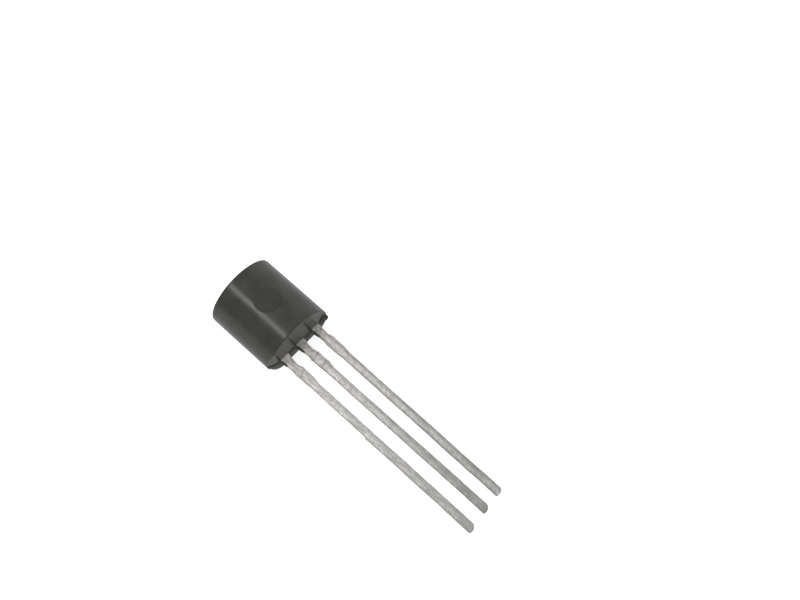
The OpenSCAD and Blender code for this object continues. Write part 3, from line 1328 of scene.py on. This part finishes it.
@dataclass(frozen=True)
class Studio:
    """A white table under an even white sky, with one narrow lamp.

    sky_level is how strongly the sky lights. What shiny pieces mirror of it is side_level low
    down and zenith_level straight above, brighter by flank_level towards +Y. zenith_span and
    flank_span are the heights and the sideways directions between which that changes. The table
    glows by lift_seen where it is seen, and by lift_mirrored where it is mirrored.
    """

    sky_level: float = 0.9
    side_level: float = 0.3
    zenith_level: float = 0.6
    zenith_span: Span = (0.7, 0.97)
    flank_level: float = 0.5
    flank_span: Span = (0.3, 1.0)
    table_colour: str = "#dcdcdc"
    table_half: float = 1.5
    lift_seen: float = 0.72
    lift_mirrored: float = 0.1
    lamp: Lamp = Lamp("strip_lamp", azimuth_deg=-126.35, elevation_deg=63.6, distance=0.5,
                      width=0.18, height=0.07, level=0.09)

    def build_sky(self) -> None:
        """Makes the sky: white where it is seen, and apart from that mirrored or lighting."""
        world = bpy.data.worlds.new("white_sky")
        bpy.context.scene.world = world
        tree = Tree(world)
        path = tree.add("LightPath")
        way = tree.add("SeparateXYZ", inputs={"Vector": tree.add("TexCoord").outputs["Generated"]})
        above = tree.add("MapRange", {"interpolation_type": "SMOOTHSTEP"}, {
            "Value": way.outputs["Z"], "From Min": self.zenith_span[0], "From Max": self.zenith_span[1],
            "To Min": self.side_level, "To Max": self.zenith_level})
        flank = tree.add("MapRange", {"interpolation_type": "SMOOTHSTEP"}, {
            "Value": way.outputs["Y"], "From Min": self.flank_span[0], "From Max": self.flank_span[1],
            "To Max": self.flank_level})
        mirrored = tree.add("Math", {"operation": "ADD"}, {0: above.outputs["Result"],
                                                           1: flank.outputs["Result"]})
        lit = tree.add("MapRange", inputs={"Value": path.outputs["Is Glossy Ray"],
                                           "To Min": self.sky_level, "To Max": mirrored.outputs[0]})
        level = tree.add("MapRange", inputs={"Value": path.outputs["Is Camera Ray"],
                                             "To Min": lit.outputs["Result"], "To Max": 1.0})
        sky = tree.add("Background", inputs={"Color": WHITE, "Strength": level.outputs["Result"]})
        tree.add("OutputWorld", inputs={"Surface": sky.outputs["Background"]})

    def build_paper(self) -> bpy.types.Material:
        """Makes the table's finish: matt white paper, lifted to full white where it is seen.

        Returns:
            The new material.
        """
        material = bpy.data.materials.new("white_paper_table")
        tree = Tree(material)
        path = tree.add("LightPath")
        mirrored = tree.add("Math", {"operation": "MAXIMUM"}, {0: path.outputs["Is Glossy Ray"],
                                                              1: path.outputs["Is Transmission Ray"]})
        faint = tree.add("Math", {"operation": "MULTIPLY"}, {0: mirrored.outputs[0], 1: self.lift_mirrored})
        lift = tree.add("MapRange", inputs={"Value": path.outputs["Is Camera Ray"],
                                            "To Min": faint.outputs[0], "To Max": self.lift_seen})
        paper = tree.add("BsdfDiffuse", inputs={"Color": linear(self.table_colour)})
        glow = tree.add("Emission", inputs={"Color": WHITE, "Strength": lift.outputs["Result"]})
        both = tree.add("AddShader", inputs={0: paper.outputs["BSDF"], 1: glow.outputs["Emission"]})
        tree.add("OutputMaterial", inputs={"Surface": both.outputs["Shader"]})
        return material

    def build_table(self, height: float) -> bpy.types.Object:
        """Lays the square table top.

        Args:
            height: Z of the table top in metres.

        Returns:
            The table's object.
        """
        half = self.table_half
        corners = [(-half, -half, height), (half, -half, height), (half, half, height), (-half, half, height)]
        mesh = bpy.data.meshes.new("table_top")
        mesh.from_pydata(corners, [], [(0, 1, 2, 3)])
        mesh.materials.append(self.build_paper())
        table = bpy.data.objects.new("table_top", mesh)
        bpy.context.scene.collection.objects.link(table)
        return table

    def build(self, table_height: float, aim: Vector) -> None:
        """Builds the sky, the table and the lamp.

        Args:
            table_height: Z of the table top in metres.
            aim: the point that the lamp lights, in metres.
        """
        self.build_sky()
        self.build_table(table_height)
        self.lamp.build(aim)


@dataclass(frozen=True)
class Viewpoint:
    """The camera: where it stands round its aim, its roll and its scale.

    px_per_mm is the scale at the aim in a frame FRAME_WIDTH_PX wide.
    """

    azimuth_deg: float = -40.55
    elevation_deg: float = 66.83
    roll_deg: float = -7.46
    aim_mm: tuple[float, float, float] = (2.6227, 5.9128, 1.0)
    distance_mm: float = 70.0
    px_per_mm: float = 16.991
    sensor_mm: float = 36.0
    near_mm: float = 2.0
    far_mm: float = 10000.0

    def build(self) -> bpy.types.Object:
        """Makes the scene's camera.

        Its lens is the sensor's width times the distance, over the frame's width at the aim.

        Returns:
            The camera's object.
        """
        camera = bpy.data.cameras.new("camera")
        camera.sensor_width = self.sensor_mm
        camera.lens = self.sensor_mm * self.px_per_mm * self.distance_mm / FRAME_WIDTH_PX
        camera.clip_start = self.near_mm * MM
        camera.clip_end = self.far_mm * MM
        holder = bpy.data.objects.new("camera", camera)
        holder.matrix_world = look_at(Vector(self.aim_mm) * MM, self.azimuth_deg, self.elevation_deg,
                                      self.distance_mm * MM, self.roll_deg)
        bpy.context.scene.collection.objects.link(holder)
        bpy.context.scene.camera = holder
        return holder


# --------------------------------------------------------------------------------------------
# Putting it together
# --------------------------------------------------------------------------------------------


def resin_slivers(body: MouldedBody) -> list[ResinSliver]:
    """The slivers on leads 1, 2 and 3, each broken off at its own length."""
    return [ResinSliver(body.leads, index, body.exit_x, length)
            for index, length in ((1, 0.66), (0, 0.73), (-1, 0.58))]


def stamped_leads(body: MouldedBody) -> list[StampedLead]:
    """Leads 1, 2 and 3, each with its own inner end, cut, worn tin, painted edge shade and tool marks.

    Args:
        body: the body that they leave.

    Returns:
        The three leads.
    """
    leads, x = body.leads, body.exit_x
    return [
        StampedLead(
            leads, 1, x, leads.post(x), flare=0.0,
            tip=TipShape(plus_r=0.2, minus_r=0.08, shift=-0.04),
            wear_and_shade=TinWearAndShade(plus=0.7, plus_from=0.0, minus=0.7, foot=0.5),
            marks=(PressMark(1.35, lean=-0.08, depth=0.012),
                   PressMark(2.05, lean=0.03, bow=0.03, depth=0.01))),
        StampedLead(
            leads, 0, x, leads.flag(x),
            tip=TipShape(plus_r=0.3, minus_r=0.12, shift=0.03),
            wear_and_shade=TinWearAndShade(plus_from=-0.1, tip=0.75, foot=0.5),
            marks=(PressMark(1.27, lean=-0.08, depth=0.035),
                   PressMark(1.95, lean=-0.06, bow=-0.03, depth=0.045, width=0.045))),
        StampedLead(
            leads, -1, x, leads.post(x), nick_at=6.75,
            tip=TipShape(plus_r=0.3, minus_r=0.16, shift=-0.02),
            wear_and_shade=TinWearAndShade(plus=0.35, plus_from=0.3, tip=0.58, tip_from=0.0),
            marks=(PressMark(1.45, lean=-0.16, depth=0.02),
                   PressMark(2.1, lean=0.04, bow=0.02, depth=0.012))),
    ]


def paint(piece: bpy.types.Object, material: bpy.types.Material) -> None:
    """Gives the piece one material, in place of any that it has."""
    piece.data.materials.clear()
    piece.data.materials.append(material)


def paint_inner_pieces() -> None:
    """Gives each CAD node inside the body its finish, on the slot that it has."""
    made = {finish: finish.value.build() for finish in Inner}
    for node, finish in INNER_PIECES.items():
        frame["nodes"][node].material_slots[0].material = made[finish]
        log.info("%s: %s", node, finish.value.name)


def main() -> None:
    """Builds the part, the studio and the camera."""
    logging.basicConfig(level=logging.INFO, format="%(message)s")
    bpy.context.scene.view_settings.view_transform = "Standard"
    package = Package.from_record(frame["record"])
    body = MouldedBody(LeadFrame())
    resin, torn, tin = MouldingResin().build(), BrokenResin().build(), TinnedAlloy().build()
    parts = [(body, resin), (BrokenWeb(body), torn)]
    parts += [(sliver, torn) for sliver in resin_slivers(body)]
    parts += [(lead, tin) for lead in stamped_leads(body)]
    for part, material in parts:
        piece = part.build(package)
        paint(piece, material)
        log.info("%s: %d points", piece.name, len(piece.data.vertices))
    paint_inner_pieces()
    low, high = CAD_BOX
    Studio().build(low[2], (Vector(low) + Vector(high)) / 2)
    Viewpoint().build()


if __name__ == "__main__":
    main()
